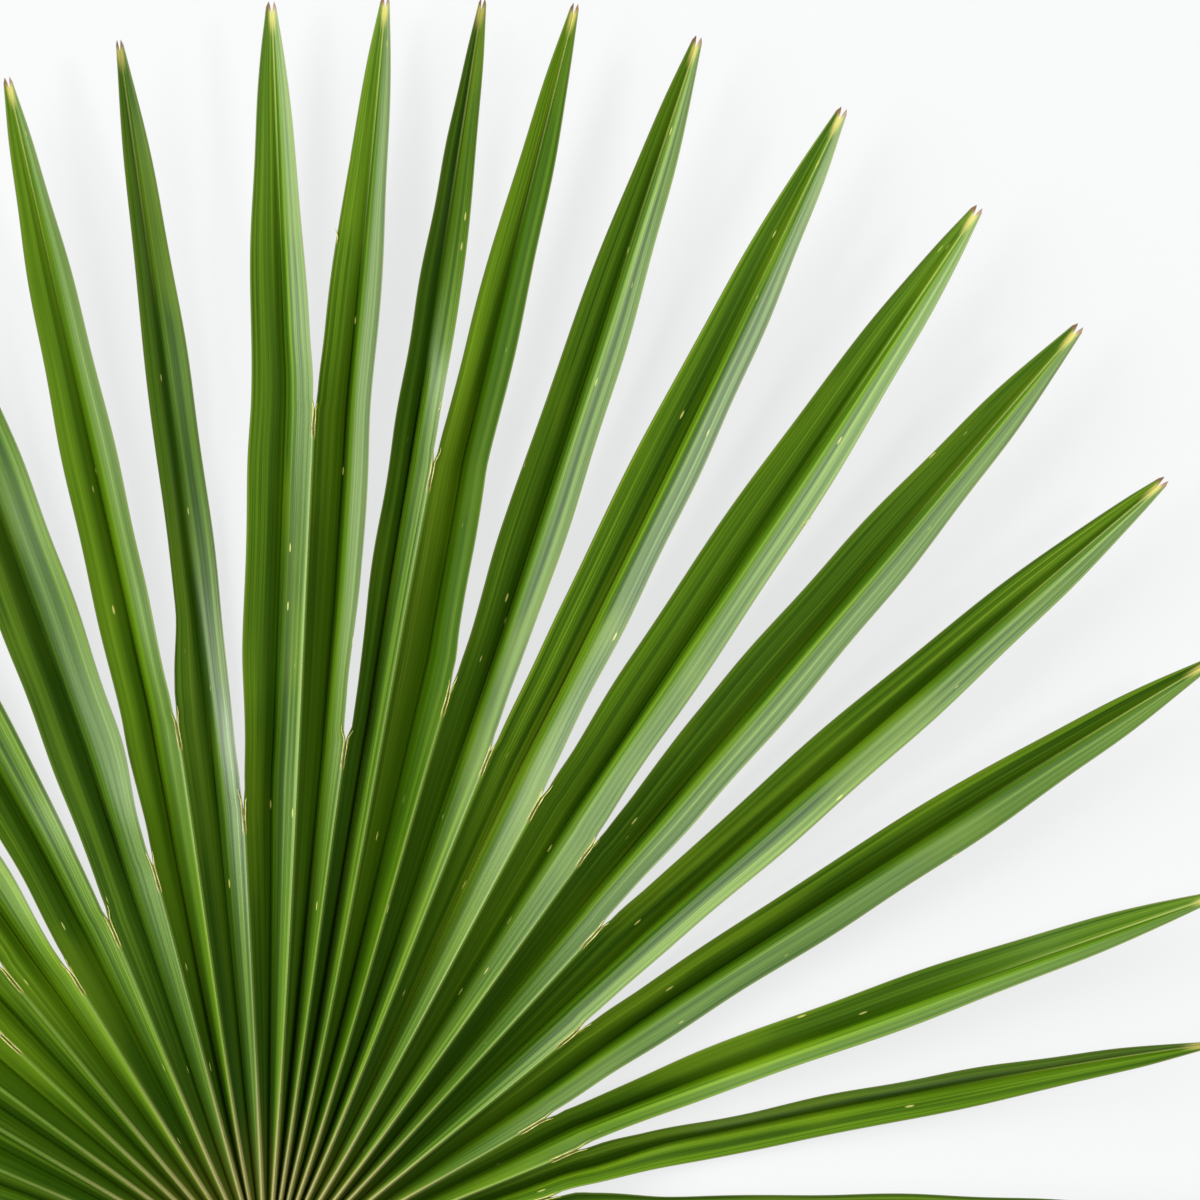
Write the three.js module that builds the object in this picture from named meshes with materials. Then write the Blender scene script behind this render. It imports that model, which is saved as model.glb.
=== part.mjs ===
// A cut leaf of a fan palm, lying face up on a flat surface, in millimetres.
// The blade is a fan of V-folded leaflets that are joined edge to edge near the stalk and split
// apart further out. Every leaflet is one node, parted from its neighbours along the seams by a
// hairline gap, and the stalk with its widened head is one node.
// +Y runs along the leaf from the stalk to the middle leaflets, and +Z is the upper face.
import * as THREE from "three";

// ---- Driving dimensions ------------------------------------------------------------------------

// Seams between leaflets, from the left margin to the right one: the seam's angle from the leaf's
// own axis beside the hub, its angle where it splits, and how far from the hub it splits.
const SEAMS = [
  [-119, -120, 60],
  [-113.5, -114, 88],
  [-108, -108.5, 92],
  [-102, -102.5, 96],
  [-96, -96.5, 100],
  [-89.5, -89.5, 106],
  [-83, -83.4, 112],
  [-76.2, -76.4, 118],
  [-69.8, -70.4, 127],
  [-63.4, -63.5, 143],
  [-57.1, -56.7, 150],
  [-49.7, -48.9, 148],
  [-41.6, -40.3, 156],
  [-32.8, -32.1, 170],
  [-28, -26.1, 224],
  [-19.5, -19.8, 188],
  [-12.6, -13.9, 338],
  [-7.7, -8.8, 212],
  [-2.8, -5.6, 323],
  [2.8, 0, 244],
  [8, 5.6, 225],
  [14.8, 12.2, 220],
  [21.2, 19.3, 215],
  [26.6, 25.8, 192],
  [33, 33.4, 158],
  [39.4, 41.8, 131],
  [46.3, 49.1, 134],
  [53.6, 55.3, 120],
  [61.5, 65, 112],
  [69, 72.5, 106],
  [76.5, 79.5, 102],
  [84, 86.5, 98],
  [91, 93, 95],
  [97.5, 99.5, 92],
  [104, 105.5, 90],
  [110.5, 111.5, 88],
  [117, 118, 60],
];

// Leaflets in the same order: angle of the tip, reach of the tip from the hub, greatest width, the
// share of the width that lies to the left of the midrib, and the share of the width by which the
// free leaflet bows to the left.
const LEAFLETS = [
  [-119, 250, 12, 0.42, -0.12],
  [-113, 262, 14, 0.42, -0.12],
  [-107, 276, 15, 0.42, -0.12],
  [-101, 290, 17, 0.42, -0.12],
  [-94, 305, 18, 0.42, -0.12],
  [-87, 322, 20, 0.42, -0.12],
  [-80.5, 340, 21, 0.42, -0.12],
  [-74, 358, 22, 0.42, -0.12],
  [-67.5, 377, 23, 0.42, -0.12],
  [-60.5, 397, 24, 0.42, -0.12],
  [-53.5, 417, 25, 0.42, -0.12],
  [-45.5, 440, 26, 0.43, -0.1],
  [-36.6, 455, 30, 0.44, -0.1],
  [-29.1, 468, 21.6, 0.54, 0.04],
  [-23.8, 475, 17.4, 0.41, -0.15],
  [-16.8, 486, 24.5, 0.55, 0.03],
  [-11.75, 490, 22, 0.55, 0],
  [-7.5, 494, 18, 0.43, -0.05],
  [-3.5, 499, 20.4, 0.5, -0.01],
  [2, 500, 24.5, 0.51, 0],
  [9, 496, 26.3, 0.55, 0.02],
  [16.3, 489, 28, 0.55, 0.04],
  [23.1, 476, 28, 0.54, 0.05],
  [30.9, 457, 25.5, 0.52, 0.07],
  [39.3, 429, 24, 0.49, 0.09],
  [50.4, 391, 19, 0.57, 0.11],
  [58.4, 370, 16, 0.38, 0.12],
  [68.5, 352, 16, 0.4, 0.12],
  [77, 336, 17, 0.45, 0.12],
  [84, 320, 17, 0.45, 0.12],
  [90.5, 306, 17, 0.45, 0.12],
  [96.5, 292, 16, 0.45, 0.12],
  [102, 280, 15, 0.45, 0.12],
  [107.5, 268, 15, 0.45, 0.12],
  [113, 256, 14, 0.45, 0.12],
  [119, 244, 12, 0.45, 0.12],
];

// Width of a free leaflet along its reach, each as a share of the whole.
const WIDTH_ALONG = [
  [0, 0.86],
  [0.45, 0.93],
  [0.62, 1],
  [0.73, 0.95],
  [0.81, 0.84],
  [0.89, 0.64],
  [0.95, 0.42],
  [1, 0.15],
];

// Slope of a free leaflet's two halves along its reach, in degrees up from the midrib.
const SLOPE_ALONG = [
  [0.2, 50],
  [0.45, 38],
  [0.7, 31],
  [1, 24],
];

const INNER_REACH = 16; // inner ends of the leaflets, around the head of the stalk
const STRAIGHT_SEAM = 38; // the seams leave the hub evenly spread as far as this
const STATION_STEP = 26; // distance between a leaflet's cross sections
const CLOSEST_STATIONS = 9;
const SAME_STATION = 1; // two splits nearer than this share one section
const SEAM_GAP = 0.3; // hairline between neighbouring leaflets
const FREEING_LENGTH = 45; // over which an edge passes from its seam to the free outline
const WEB_FOLD = 10; // height of the seams above the midribs in the joined part
const WEB_FOLD_REACH = 60; // distance in which that height builds up from the hub
const EDGE_THICKNESS = 0.6;
const RIB_THICKNESS = 1.4; // blade and midrib together
const HUB_HEIGHT = 8; // how far the stalk's head lifts the leaflets' inner ends
const TOUCH_SHARE = 0.42; // share of its reach at which a leaflet rests on the surface
const TIP_LIFT_LEAST = 12;
const TIP_LIFT_MORE = 16; // added at the leaflets that spring up most
const TIP_LIFT_ANGLE = 18; // where they are in the fan
const TIP_LIFT_SPREAD = 45;
const TIP_LIFT_POWER = 1.6;
const TIP_NOTCH = 5; // depth of the split in a leaflet's end
const NOTCH_SLANT = 1; // how far the midrib's end runs on into the split

// The stalk from its cut end to its rounded head: distance from the hub, half width, lowest and
// highest point. The crest near the head is the hastula, the small flap where the blade begins.
const STALK = [
  [-232, 4.6, 0.4, 6.6],
  [-225, 5.0, 0, 7.2],
  [-160, 5.4, 0, 7.8],
  [-90, 5.9, 0, 8.4],
  [-45, 6.6, 0, 8.8],
  [-22, 8, 0.2, 9],
  [-9, 11.4, 0.6, 9],
  [0, 14.6, 1.2, 9.2],
  [6, 13.6, 1.6, 10.2],
  [9.5, 11.4, 2, 12.4],
  [12.5, 7.9, 2.6, 11],
  [14.2, 4, 3.6, 7.6],
];
const STALK_SIDES = 20;
const STALK_SQUARENESS = 0.75; // 1 is an ellipse, less is squarer
const STALK_GROOVE = 0.16; // depth of the channel in the upper side, as a share of the height

const LEAF_COLOR = "#4c7d1e";
const STALK_COLOR = "#7d9a3c";
const LEAF_ROUGHNESS = 0.45;
const STALK_ROUGHNESS = 0.5;

// ---- Helpers -----------------------------------------------------------------------------------

const { clamp, lerp, smoothstep, degToRad, radToDeg } = THREE.MathUtils;

// Smooth value at x on a curve given by a few [x, value] pairs.
function along(pairs, x) {
  const last = pairs.length - 1;
  const at = clamp(x, pairs[0][0], pairs[last][0]);
  let i = 0;
  while (i < last - 1 && at > pairs[i + 1][0]) i += 1;
  const [x0, y0] = pairs[i];
  const [x1, y1] = pairs[i + 1];
  const slopeAt = (k) => {
    const before = pairs[Math.max(k - 1, 0)];
    const after = pairs[Math.min(k + 1, last)];
    return (after[1] - before[1]) / (after[0] - before[0]);
  };
  const span = x1 - x0;
  const t = (at - x0) / span;
  const rise = t * t * (3 - 2 * t);
  const leave = t * (1 - t) * (1 - t) * span;
  const arrive = t * t * (t - 1) * span;
  return lerp(y0, y1, rise) + slopeAt(i) * leave + slopeAt(i + 1) * arrive;
}

// A point given by its reach from the hub, its angle from the leaf's axis and its height.
function fanPoint(reach, degrees, z) {
  const a = degToRad(degrees);
  return [reach * Math.sin(a), reach * Math.cos(a), z];
}

// A mesh from rings of points, joined in order and closed by a fan of faces at each end. The first
// half of a ring is the upper side. The lower side is split into triangles along the same lines as
// the upper one above it, so a thin twisted wall keeps its thickness.
function loft(name, rings, material) {
  const sides = rings[0].length;
  const points = rings.flat();
  const faces = [];
  for (let r = 0; r + 1 < rings.length; r += 1) {
    for (let s = 0; s < sides; s += 1) {
      const a = r * sides + s;
      const b = r * sides + ((s + 1) % sides);
      const upper = s < sides / 2;
      if (upper) faces.push(a, b, b + sides, a, b + sides, a + sides);
      else faces.push(a, b, a + sides, b, b + sides, a + sides);
    }
  }
  const lastRing = (rings.length - 1) * sides;
  for (let s = 1; s + 1 < sides; s += 1) {
    faces.push(0, s + 1, s);
    faces.push(lastRing, lastRing + s, lastRing + s + 1);
  }
  const geometry = new THREE.BufferGeometry();
  geometry.setAttribute("position", new THREE.Float32BufferAttribute(points.flat(), 3));
  geometry.setIndex(faces);
  geometry.computeVertexNormals();
  const mesh = new THREE.Mesh(geometry, material);
  mesh.name = name;
  return mesh;
}

// ---- The shape of the fan ----------------------------------------------------------------------

// Angle of a seam: evenly spread beside the hub, then easing to its angle at the split.
function seamAngle([atHub, atSplit, split], reach) {
  const t = clamp((reach - STRAIGHT_SEAM) / (split - STRAIGHT_SEAM), 0, 1);
  return lerp(atHub, atSplit, 1 - (1 - t) * (1 - t));
}

// Height of a midrib's upper side: down from the hub, resting, then up to the tip.
function midribHeight([tipAngle, tipReach], reach) {
  const touch = TOUCH_SHARE * tipReach;
  if (reach < touch) {
    const t = (touch - reach) / (touch - INNER_REACH);
    return RIB_THICKNESS + (HUB_HEIGHT - RIB_THICKNESS) * t * t;
  }
  const away = (tipAngle - TIP_LIFT_ANGLE) / TIP_LIFT_SPREAD;
  const lift = TIP_LIFT_LEAST + TIP_LIFT_MORE * Math.exp(-away * away);
  const t = (reach - touch) / (tipReach - touch);
  return RIB_THICKNESS + lift * t ** TIP_LIFT_POWER;
}

// Half width of a free leaflet, in millimetres, on the side where share of the width lies.
function freeHalfWidth([, tipReach, width], reach, share) {
  return width * share * along(WIDTH_ALONG, reach / tipReach);
}

// One leaflet and the two seams it grows between.
function leafletShape(index) {
  const leaflet = LEAFLETS[index];
  const [tipAngle, tipReach, , leftShare, bow] = leaflet;
  const seams = [SEAMS[index], SEAMS[index + 1]];
  const firstSplit = Math.min(seams[0][2], seams[1][2]);
  const lastSplit = Math.max(seams[0][2], seams[1][2]);
  const joinedSide = seams[0][2] > seams[1][2] ? 0 : 1;
  const outward = [-1, 1];
  const middle = (reach) => (seamAngle(seams[0], reach) + seamAngle(seams[1], reach)) / 2;
  const shares = [leftShare, 1 - leftShare];
  const lean = leftShare - 0.5 - bow;

  // Straight runs of the midrib between these points, each [reach, angle].
  const marks = [[firstSplit, middle(firstSplit)]];
  if (lastSplit - firstSplit > FREEING_LENGTH) {
    const half = freeHalfWidth(leaflet, lastSplit, 0.5);
    const inward = -outward[joinedSide] * radToDeg(half / lastSplit);
    marks.push([lastSplit, seamAngle(seams[joinedSide], lastSplit) + inward]);
  }
  marks.push([tipReach, tipAngle]);

  function midribAngle(reach) {
    if (reach <= firstSplit) return middle(reach);
    const next = Math.max(1, marks.findIndex((mark) => mark[0] >= reach));
    const [r0, a0] = marks[next - 1];
    const [r1, a1] = marks[next];
    const t = (1 / r0 - 1 / reach) / (1 / r0 - 1 / r1);
    const free = smoothstep(reach, firstSplit, firstSplit + FREEING_LENGTH);
    const aside = 2 * freeHalfWidth(leaflet, reach, 0.5) * lean * free;
    return lerp(a0, a1, t) + radToDeg(aside / reach);
  }

  // Angle and height of one edge: side 0 is the left one and side 1 the right one.
  function edge(side, reach) {
    const seam = seams[side];
    const split = seam[2];
    const rib = midribAngle(reach);
    const neighbour = LEAFLETS[index + outward[side]] ?? leaflet;
    const ridge = (midribHeight(leaflet, reach) + midribHeight(neighbour, reach)) / 2;
    const webHeight = ridge + WEB_FOLD * (1 - Math.exp(-reach / WEB_FOLD_REACH));
    const hairline = radToDeg(SEAM_GAP / 2 / reach);
    if (reach <= split) {
      return [seamAngle(seam, reach) - outward[side] * hairline, webHeight];
    }
    const free = smoothstep(reach, split, split + FREEING_LENGTH);
    const atSplit = degToRad(Math.abs(seamAngle(seam, split) - midribAngle(split))) * split;
    const half = lerp(atSplit, freeHalfWidth(leaflet, reach, shares[side]), free);
    const slope = degToRad(along(SLOPE_ALONG, reach / tipReach));
    const slant = freeHalfWidth(leaflet, reach, 0.5) / Math.cos(slope);
    const freeRise = Math.sqrt(Math.max(slant * slant - half * half, 0));
    const height = lerp(webHeight, midribHeight(leaflet, reach) + freeRise, free);
    return [rib + outward[side] * (radToDeg(half / reach) - hairline), height];
  }

  return { tipReach, splits: [seams[0][2], seams[1][2]], midribAngle, edge, leaflet };
}

// Reaches at which a leaflet gets a cross section: every step, and exactly at its two splits.
function stations({ tipReach, splits }) {
  const fixed = [INNER_REACH, ...splits, tipReach - TIP_NOTCH];
  const steps = [];
  for (let r = STATION_STEP; r < tipReach; r += STATION_STEP) steps.push(r);
  const clear = steps.filter((r) => fixed.every((f) => Math.abs(f - r) > CLOSEST_STATIONS));
  const all = [...fixed, ...clear].sort((a, b) => a - b);
  return all.filter((r, i) => i === 0 || r - all[i - 1] > SAME_STATION);
}

// Cross section: left edge, midrib and right edge, over the top and back underneath.
function section(shape, reach, ribReach = reach) {
  const left = shape.edge(0, reach);
  const right = shape.edge(1, reach);
  const rib = midribHeight(shape.leaflet, ribReach);
  const ribAngle = shape.midribAngle(ribReach);
  return [
    fanPoint(reach, left[0], left[1]),
    fanPoint(ribReach, ribAngle, rib),
    fanPoint(reach, right[0], right[1]),
    fanPoint(reach, right[0], right[1] - EDGE_THICKNESS),
    fanPoint(ribReach, ribAngle, rib - RIB_THICKNESS),
    fanPoint(reach, left[0], left[1] - EDGE_THICKNESS),
  ];
}

// ---- The leaf ----------------------------------------------------------------------------------

const leafMaterial = new THREE.MeshStandardMaterial({
  color: LEAF_COLOR,
  roughness: LEAF_ROUGHNESS,
  metalness: 0,
});
const stalkMaterial = new THREE.MeshStandardMaterial({
  color: STALK_COLOR,
  roughness: STALK_ROUGHNESS,
  metalness: 0,
});

const leaf = new THREE.Group();
leaf.name = "fan_palm_leaf";

for (let index = 0; index < LEAFLETS.length; index += 1) {
  const shape = leafletShape(index);
  const rings = stations(shape).map((reach) => section(shape, reach));
  rings.push(section(shape, shape.tipReach, shape.tipReach - TIP_NOTCH + NOTCH_SLANT));
  const name = `leaflet_${String(index + 1).padStart(2, "0")}`;
  leaf.add(loft(name, rings, leafMaterial));
}

// Ring of the stalk: a flattened oval with a shallow channel along its upper side.
function stalkRing([y, halfWidth, low, high]) {
  const ring = [];
  const centre = (low + high) / 2;
  const halfHeight = (high - low) / 2;
  for (let s = 0; s < STALK_SIDES; s += 1) {
    const u = (-2 * Math.PI * s) / STALK_SIDES;
    const across = Math.sign(Math.cos(u)) * Math.abs(Math.cos(u)) ** STALK_SQUARENESS;
    const up = Math.sign(Math.sin(u)) * Math.abs(Math.sin(u)) ** STALK_SQUARENESS;
    const groove = up > 0 ? STALK_GROOVE * (1 - across * across) ** 2 : 0;
    ring.push([halfWidth * across, y, centre + halfHeight * (up - groove)]);
  }
  return ring;
}
leaf.add(loft("stalk", STALK.map(stalkRing), stalkMaterial));

// The row's origin is on the surface, under the middle of the whole leaf.
const box = new THREE.Box3().setFromObject(leaf);
const centre = box.getCenter(new THREE.Vector3());
leaf.children.forEach((mesh) => mesh.geometry.translate(-centre.x, -centre.y, -box.min.z));

export default leaf;
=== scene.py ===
# %% [markdown]
# # A fan palm leaf, leaflet by leaflet
#
# A fan palm folds its leaf like a paper fan. Every fold is one leaflet: two halves that rise in a
# V from a midrib at the bottom. Near the stalk neighbouring leaflets are joined along their crests,
# and further out the crests split and each leaflet goes its own way to a forked tip.
#
# A plain solid of every leaflet already stands in the fixed frame. It says where the leaflet's two
# edges and its midrib run. This script reads those three lines from each solid and spreads a fine
# sheet between them, with the arch, the veins, the thickness and the tip of the living thing.

import math

import bpy
import numpy as np
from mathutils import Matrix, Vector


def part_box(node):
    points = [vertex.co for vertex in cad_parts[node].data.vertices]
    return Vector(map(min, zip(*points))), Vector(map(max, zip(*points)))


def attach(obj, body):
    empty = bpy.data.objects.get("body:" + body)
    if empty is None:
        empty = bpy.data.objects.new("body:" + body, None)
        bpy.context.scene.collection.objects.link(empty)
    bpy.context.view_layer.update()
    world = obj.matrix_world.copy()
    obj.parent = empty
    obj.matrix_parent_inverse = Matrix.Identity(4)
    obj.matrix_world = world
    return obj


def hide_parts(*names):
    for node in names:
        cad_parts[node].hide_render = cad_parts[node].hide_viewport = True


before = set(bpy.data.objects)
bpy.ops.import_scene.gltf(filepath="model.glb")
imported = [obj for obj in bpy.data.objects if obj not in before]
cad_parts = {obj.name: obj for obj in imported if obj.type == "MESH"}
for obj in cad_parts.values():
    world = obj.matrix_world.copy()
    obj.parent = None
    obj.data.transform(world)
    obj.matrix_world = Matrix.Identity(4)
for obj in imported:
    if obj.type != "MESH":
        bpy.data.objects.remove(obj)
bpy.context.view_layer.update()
MM = 0.001
leaflet_names = sorted(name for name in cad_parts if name.startswith("leaflet_"))
print(len(leaflet_names), "leaflets in the frame")

# %% [markdown]
# ## Where the fan is centred
#
# All seams and midribs run towards one point, the hub, in the middle of the stalk's round head.
# Polar coordinates about the hub suit a fan: the reach is the distance from the hub, and the angle
# is counted clockwise from the leaf's own axis. The head is the far end of the stalk's solid, so
# the hub is found from that solid's box.

# %% The hub
HEAD_REACH = 14.2  # mm from the hub to the far end of the stalk's head

stalk_low, stalk_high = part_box("stalk")
hub = np.array([(stalk_low.x + stalk_high.x) / 2, stalk_high.y - HEAD_REACH * MM]) / MM
print("hub at", np.round(hub, 2), "mm")


def polar_point(reach, angle, height):
    """Metres in the row's frame: reach and angle about the hub, angle from +Y towards +X."""
    x = hub[0] + reach * np.sin(np.radians(angle))
    y = hub[1] + reach * np.cos(np.radians(angle))
    return np.stack([x, y, height], axis=-1) * MM


# %% [markdown]
# ## The scene around the leaf
#
# The leaf lies on a pale table and is seen from straight above through a long lens, so its plan
# stays true. The view is close: it holds the middle of the fan and leaves out the stalk. The
# picture's upright is turned against the leaf's axis, because the leaf was laid down askew.

# %% Camera
VIEW_WIDTH = 454.2  # mm of table across the view
VIEW_REACH = 289.5  # mm from the hub to the middle of the view
VIEW_ANGLE = 8.8  # degrees of that direction from the leaf's axis
LEAF_TURN = 17.1  # degrees between the view's upright and the leaf's axis
LENS = 200.0
SENSOR = 36.0
FOCUS_HEIGHT = 12.0  # mm above the table, where the scale is exact

camera = bpy.data.objects.new("camera", bpy.data.cameras.new("camera"))
bpy.context.scene.collection.objects.link(camera)
camera.data.lens = LENS
camera.data.sensor_width = SENSOR
camera.data.clip_end = 20
distance = VIEW_WIDTH * LENS / SENSOR
camera.location = polar_point(VIEW_REACH, VIEW_ANGLE, FOCUS_HEIGHT + distance)
camera.rotation_euler = (0, 0, math.radians(LEAF_TURN))
bpy.context.scene.camera = camera
bpy.context.scene.view_settings.view_transform = "Standard"
print("camera", round(distance * MM, 2), "m above the leaf")

# %% [markdown]
# ## Colours and nodes
#
# Colours are written as the hex values a painter would pick, and one function turns them into the
# linear numbers that light is added up in. One more function adds a shader node, sets it and links
# it. Everything that is painted in this script goes through these two.


# %% Helpers for materials
def linear(hex_colour, alpha=1.0):
    """sRGB hex to linear: each channel below the knee is divided, above it raised to 2.4."""
    channels = np.array([int(hex_colour[i : i + 2], 16) for i in (1, 3, 5)]) / 255
    low = channels / 12.92
    high = ((channels + 0.055) / 1.055) ** 2.4
    return (*np.where(channels <= 0.04045, low, high), alpha)


def node(tree, kind, inputs=None, ramp=None, **settings):
    """Add a node: settings are its own, inputs are values or the sockets that feed it."""
    made = tree.nodes.new(kind)
    for name, value in settings.items():
        setattr(made, name, value)
    for name, value in (inputs or {}).items():
        if isinstance(value, bpy.types.NodeSocket):
            tree.links.new(value, made.inputs[name])
        else:
            made.inputs[name].default_value = value
    for index, (place, colour) in enumerate(ramp or []):
        stops = made.color_ramp.elements
        stop = stops[index] if index < len(stops) else stops.new(place)
        stop.position = place
        stop.color = linear(colour)
    return made


def new_material(name):
    """An empty material: its node tree and the shader that everything feeds."""
    material = bpy.data.materials.new(name)
    material.use_nodes = True
    tree = material.node_tree
    tree.nodes.clear()
    shader = node(tree, "ShaderNodeBsdfPrincipled")
    node(tree, "ShaderNodeOutputMaterial", {"Surface": shader.outputs["BSDF"]})
    return material, tree, shader


# %% [markdown]
# ## The light
#
# The leaf is lit as on a studio table. A lamp just under a metre wide stands to the right, a little
# up the view and halfway up. It casts the soft shadows to the left. A wide white panel stands to
# the upper left. The waxy halves that lean towards it mirror it, which gives them their grey bloom.
# The white room fills the rest. The wax mirrors only the panel: the lamp and the room are kept out
# of the gloss.

# %% Lamps
KEY_WATTS = 112
PANEL_WATTS = 770
ROOM_STRENGTH = 0.23


def place_lamp(name, view_angle, elevation, distance_m, size_m, watts, colour):
    """A square lamp that looks at the middle of the view from an angle and an elevation."""
    lamp = bpy.data.objects.new(name, bpy.data.lights.new(name, "AREA"))
    bpy.context.scene.collection.objects.link(lamp)
    lamp.data.shape = "RECTANGLE"
    lamp.data.size, lamp.data.size_y = size_m
    lamp.data.energy = watts
    lamp.data.color = linear(colour)[:3]
    around = math.radians(view_angle - LEAF_TURN)
    up = math.radians(elevation)
    level = distance_m * math.cos(up)
    offset = (level * math.sin(around), level * math.cos(around), distance_m * math.sin(up))
    middle = polar_point(VIEW_REACH, VIEW_ANGLE, 0.0)
    lamp.location = [middle[i] + offset[i] for i in range(3)]
    lamp.rotation_euler = (math.pi / 2 - up, 0, math.pi - around)
    lamp.visible_camera = False
    return lamp


key = place_lamp("key_lamp", 76, 44, 5.0, (0.9, 0.9), KEY_WATTS, "#fffdf8")
key.visible_glossy = False
place_lamp("white_panel", -66, 37, 6.0, (9.0, 5.0), PANEL_WATTS, "#ffffff")

world = bpy.data.worlds.new("white_room")
bpy.context.scene.world = world
world.cycles_visibility.glossy = False
world.use_nodes = True
world.node_tree.nodes.clear()
room = node(
    world.node_tree,
    "ShaderNodeBackground",
    {"Color": linear("#fffffb"), "Strength": ROOM_STRENGTH},
)
node(world.node_tree, "ShaderNodeOutputWorld", {"Surface": room.outputs["Background"]})
print("lamps and room placed")

# %% [markdown]
# ## The table
#
# A sheet of matt board. Most of its brightness is its own glow, as on a table lit from below, so
# the leaf's shadows on it stay faint and pale.

# %% Table
TABLE_HALF = 4.0  # m
TABLE_DROP = 0.05  # mm below the leaf's lowest point
TABLE_GLOW = 0.79

table_mesh = bpy.data.meshes.new("table")
corners = np.array([(-1, -1), (1, -1), (1, 1), (-1, 1)]) * TABLE_HALF
table_mesh.from_pydata([(x, y, -TABLE_DROP * MM) for x, y in corners], [], [(0, 1, 2, 3)])
table = bpy.data.objects.new("table", table_mesh)
bpy.context.scene.collection.objects.link(table)
board, board_tree, board_shader = new_material("matt_white_board")
board_shader.inputs["Base Color"].default_value = linear("#686868")
board_shader.inputs["Roughness"].default_value = 0.9
board_shader.inputs["Emission Color"].default_value = linear("#f7f8f9")
board_shader.inputs["Emission Strength"].default_value = TABLE_GLOW
table_mesh.materials.append(board)
print("table laid")

# %% [markdown]
# ## Reading the three lines of a leaflet
#
# Each solid is a chain of cross sections, and every cross section lies at one reach from the hub.
# It has a left edge, a midrib and a right edge, each with an upper and a lower corner. Sorting the
# corners by reach and then by angle gives the three lines back. The last section has no midrib,
# because there the leaflet is forked, and the midrib's own end is a little short of it.

# %% Edges and midribs of the solids
SECTION_GAP = 0.2  # mm of reach between corners of two different sections


def solid_corners(name):
    """The distinct corners of a solid, in mm."""
    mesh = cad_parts[name].data
    flat = np.empty(len(mesh.vertices) * 3, np.float32)
    mesh.vertices.foreach_get("co", flat)
    return np.unique(np.round(flat.reshape(-1, 3) / MM, 3), axis=0)


def leaflet_lines(name):
    """Left edge, midrib and right edge, each an array of reach, angle and upper height."""
    corners = solid_corners(name)
    x, y = corners[:, 0] - hub[0], corners[:, 1] - hub[1]
    reach, angle = np.hypot(x, y), np.degrees(np.arctan2(x, y))
    order = np.argsort(reach)
    starts = np.flatnonzero(np.diff(reach[order]) > SECTION_GAP) + 1
    lines = ([], [], [])
    for section in np.split(order, starts):
        section = section[np.argsort(angle[section])]
        places = {2: [1], 4: [0, 2], 6: [0, 1, 2]}[len(section)]
        for place, pair in zip(places, section.reshape(-1, 2)):
            row = (reach[pair].mean(), angle[pair].mean(), corners[pair, 2].max())
            lines[place].append(row)
    return [np.array(line) for line in lines]


lines = [leaflet_lines(name) for name in leaflet_names]
tips = np.array([left[-1, 0] for left, _, _ in lines])
print("reach of the tips, mm:", np.round(tips).astype(int).tolist())

# %% [markdown]
# The lines have a point every couple of centimetres, and a leaf has no corners. A cubic through
# the points, whose slope never overshoots, makes them flow.


# %% Smooth curves
def flow(x, xs, ys):
    """Cubic through (xs, ys): each slope is the harmonic mean of the two chords beside it."""
    steps = np.diff(xs)
    chords = np.diff(ys) / steps
    slopes = np.zeros_like(ys)
    slopes[0], slopes[-1] = chords[0], chords[-1]
    product = chords[:-1] * chords[1:]
    total = chords[:-1] + chords[1:]
    turning = product <= 0
    slopes[1:-1] = np.where(turning, 0, 2 * product / np.where(turning, 1, total))
    i = np.clip(np.searchsorted(xs, x) - 1, 0, len(steps) - 1)
    h = steps[i]
    t = np.clip((x - xs[i]) / h, 0, 1)
    start = ys[i] * (1 + 2 * t) * (1 - t) ** 2 + slopes[i] * h * t * (1 - t) ** 2
    end = ys[i + 1] * t * t * (3 - 2 * t) + slopes[i + 1] * h * t * t * (t - 1)
    return start + end


def ease(x, low, high):
    """0 below low, 1 above high, and a smooth cubic step between."""
    t = np.clip((x - low) / (high - low), 0, 1)
    return t * t * (3 - 2 * t)


# %% [markdown]
# ## Where the seams split
#
# Two neighbours are joined as long as their edges run together. The solids leave a hairline
# between them. Walking outwards along a seam, the edges part where the gap gets wider than the
# hairline. The blade itself has torn a little further in than that: the crotch lies before it.

# %% Crotches
HAIRLINE = 0.3  # mm between neighbouring solids
PARTED = 0.55  # mm between edges that have split
TORN = 9.0  # mm that the blade has torn further in
WALK = np.arange(20.0, 400.0, 0.5)


def crotch_reach(left_leaflet, right_leaflet):
    """Reach at which the gap, angle between the edges times reach, exceeds PARTED, less TORN."""
    here = flow(WALK, left_leaflet[2][:, 0], left_leaflet[2][:, 1])
    there = flow(WALK, right_leaflet[0][:, 0], right_leaflet[0][:, 1])
    gap = np.radians(there - here) * WALK
    return WALK[np.argmax(gap > PARTED)] - TORN


crotches = [crotch_reach(a, b) for a, b in zip(lines, lines[1:])]
margin = 0.0  # the fan's two outer edges are free all the way
splits = np.array([margin, *crotches, margin])
print("crotches from", round(min(crotches)), "to", round(max(crotches)), "mm from the hub")

# %% [markdown]
# ## Turning a sheet into a mesh
#
# A leaf is a sheet with two sides. Both sides are grids of the same size: rows go outwards and
# columns go from left to right. The upper grid faces up, the lower grid is turned round, and a rim
# of faces joins their borders, so the piece is closed. Numbers that the materials need, such as how
# far a point is from the midrib, are stored on the points.

# %% Closed sheets
SHEET_CREASE = 70  # degrees; a sharper bend keeps a hard edge


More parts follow.
